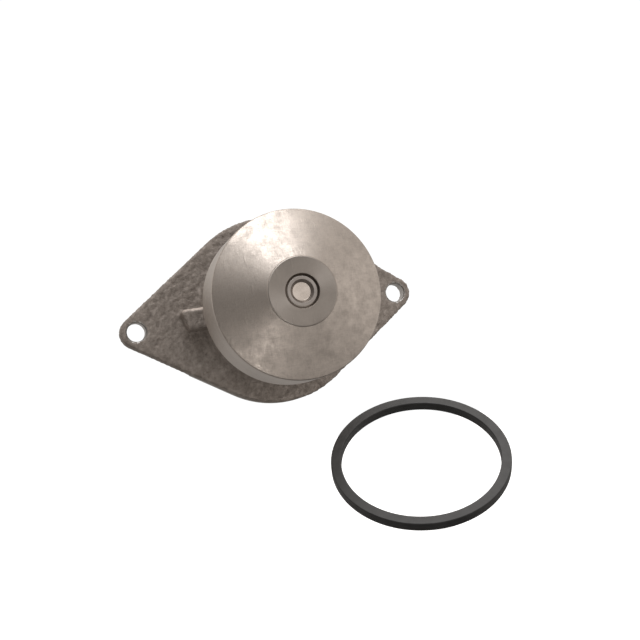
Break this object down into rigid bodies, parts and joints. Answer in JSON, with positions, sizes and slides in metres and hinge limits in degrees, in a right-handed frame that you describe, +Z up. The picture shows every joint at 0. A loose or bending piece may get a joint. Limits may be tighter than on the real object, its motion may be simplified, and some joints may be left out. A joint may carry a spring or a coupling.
{
  "type": "engine water pump",
  "caption": "Cast two-eared engine water pump with a smooth belt pulley, a sealed shaft bearing, a vaned impeller and a loose body seal ring.",
  "frame": {"origin": "on the shaft axis, in the plane of the back faces of the two ears that bolt to the engine", "axes": "+Y along the shaft into the engine (pulley at -Y), +X along the line of the bolt holes, +Z up"},
  "size_m": [0.1785, 0.1102, 0.1679],
  "materials": {
    "cast_body": "rough sand-cast, unpainted",
    "turned_steel": "fine turned",
    "shaft_steel": "ground",
    "bearing_steel": "ground and polished",
    "nitrile": "satin",
    "nylon": "moulded",
    "stamped_steel": "stamped",
    "seal_brass": "drawn",
    "spring_steel": "drawn wire",
    "carbon": "lapped",
    "ceramic": "lapped",
    "cast_impeller": "shell-cast",
    "ring_rubber": "satin moulded"
  },
  "bodies": {
    "pump_body": {"housing": "cast_body", "bearing_outer_ring": "bearing_steel", "front_bearing_seal": "nitrile", "rear_bearing_seal": "nitrile", "seal_case": "seal_brass", "spring_seat": "stamped_steel", "seal_bellows": "nitrile", "seal_spring": "spring_steel", "carbon_ring": "carbon"},
    "rotor": {"bearing_shaft": "shaft_steel", "pulley": "turned_steel", "impeller": "cast_impeller", "slinger": "stamped_steel", "seat_cup": "nitrile", "ceramic_seat": "ceramic"},
    "ball_row": {"bearing_balls": "bearing_steel", "ball_cage": "nylon"},
    "roller_row": {"bearing_rollers": "bearing_steel", "roller_cage": "nylon"},
    "loose_ring": {"body_seal_ring": "ring_rubber"}
  },
  "joints": [
    {"name": "shaft_spin", "type": "hinge", "parent": "pump_body", "child": "rotor", "pos_m": [0, 0, 0], "axis": [0, 1, 0], "continuous": true},
    {"name": "ball_row_spin", "type": "hinge", "parent": "pump_body", "child": "ball_row", "pos_m": [0, -0.0522, 0], "axis": [0, 1, 0], "continuous": true},
    {"name": "roller_row_spin", "type": "hinge", "parent": "pump_body", "child": "roller_row", "pos_m": [0, -0.0332, 0], "axis": [0, 1, 0], "continuous": true},
    {"name": "ring_lift", "type": "slide", "parent": "pump_body", "child": "loose_ring", "axis": [-0.1002, -0.6785, 0.7278], "range_m": [0, 0.03]}
  ],
  "couplings": [
    {"joint": "ball_row_spin", "follows": "shaft_spin", "ratio": 0.3488},
    {"joint": "roller_row_spin", "follows": "shaft_spin", "ratio": 0.3826}
  ]
}
